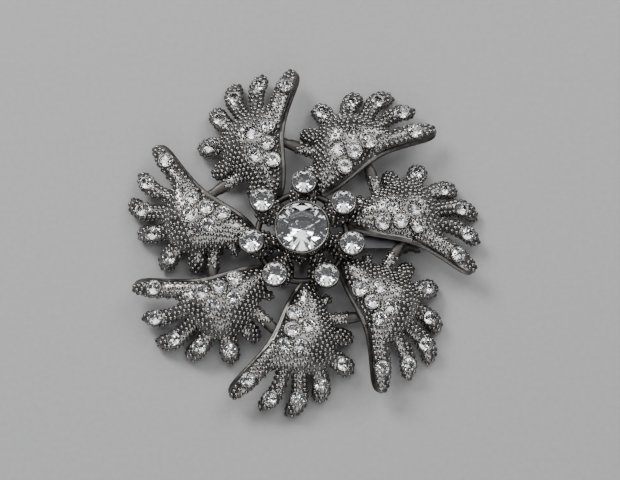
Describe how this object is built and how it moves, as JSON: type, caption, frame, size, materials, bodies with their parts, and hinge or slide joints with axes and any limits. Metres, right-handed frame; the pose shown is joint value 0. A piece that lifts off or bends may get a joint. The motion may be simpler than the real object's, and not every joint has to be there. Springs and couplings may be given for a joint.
{
  "type": "pinwheel brooch",
  "caption": "Pinwheel brooch: hand-shaped granulated petals round a tall-set central crystal, smaller crystals on petals and arms, hinged pin stem and roller catch behind.",
  "frame": {"origin": "on the plane the brooch lies on, back down, below the centre of its outline; the hub's axis stands 0.35 mm towards -X and 0.1 mm towards +Y from it", "axes": "+Z out of the brooch's front through the large stone, +X along the pin stem from its joint to its catch, +Y towards petal 1"},
  "size_m": [0.0613, 0.0617, 0.0133],
  "materials": {
    "gunmetal": "black-nickel plated cast white metal, bright on the high spots",
    "crystal": "clear foil-backed cut glass",
    "pin_metal": "black-nickel plated pressed metal",
    "pin_wire": "drawn steel wire"
  },
  "bodies": {
    "brooch": {"hub": "gunmetal", "ring": "gunmetal", "bezel": "gunmetal", "large_stone": "crystal", "cup_1": "gunmetal", "medium_stone_1": "crystal", "petal_1": "gunmetal", "tip_stones_1": "crystal", "palm_stones_1": "crystal", "cup_2": "gunmetal", "medium_stone_2": "crystal", "petal_2": "gunmetal", "tip_stones_2": "crystal", "palm_stones_2": "crystal", "cup_3": "gunmetal", "medium_stone_3": "crystal", "petal_3": "gunmetal", "tip_stones_3": "crystal", "palm_stones_3": "crystal", "cup_4": "gunmetal", "medium_stone_4": "crystal", "petal_4": "gunmetal", "tip_stones_4": "crystal", "palm_stones_4": "crystal", "cup_5": "gunmetal", "medium_stone_5": "crystal", "petal_5": "gunmetal", "tip_stones_5": "crystal", "palm_stones_5": "crystal", "cup_6": "gunmetal", "medium_stone_6": "crystal", "petal_6": "gunmetal", "tip_stones_6": "crystal", "palm_stones_6": "crystal", "cup_7": "gunmetal", "medium_stone_7": "crystal", "petal_7": "gunmetal", "tip_stones_7": "crystal", "palm_stones_7": "crystal", "pin_bar": "pin_metal", "joint_rivet": "pin_metal", "catch_housing": "pin_metal"},
    "stem": {"pin_stem": "pin_wire"},
    "roller": {"catch_roller": "pin_metal"}
  },
  "joints": [
    {"name": "stem_swing", "type": "hinge", "parent": "brooch", "child": "stem", "pos_m": [-0.01555, -0.0005, 0.0015], "axis": [0, 1, 0], "range_deg": [0, 75]},
    {"name": "roller_turn", "type": "hinge", "parent": "brooch", "child": "roller", "pos_m": [0.01865, -0.0005, 0.0015], "axis": [1, 0, 0], "range_deg": [0, 72]}
  ]
}
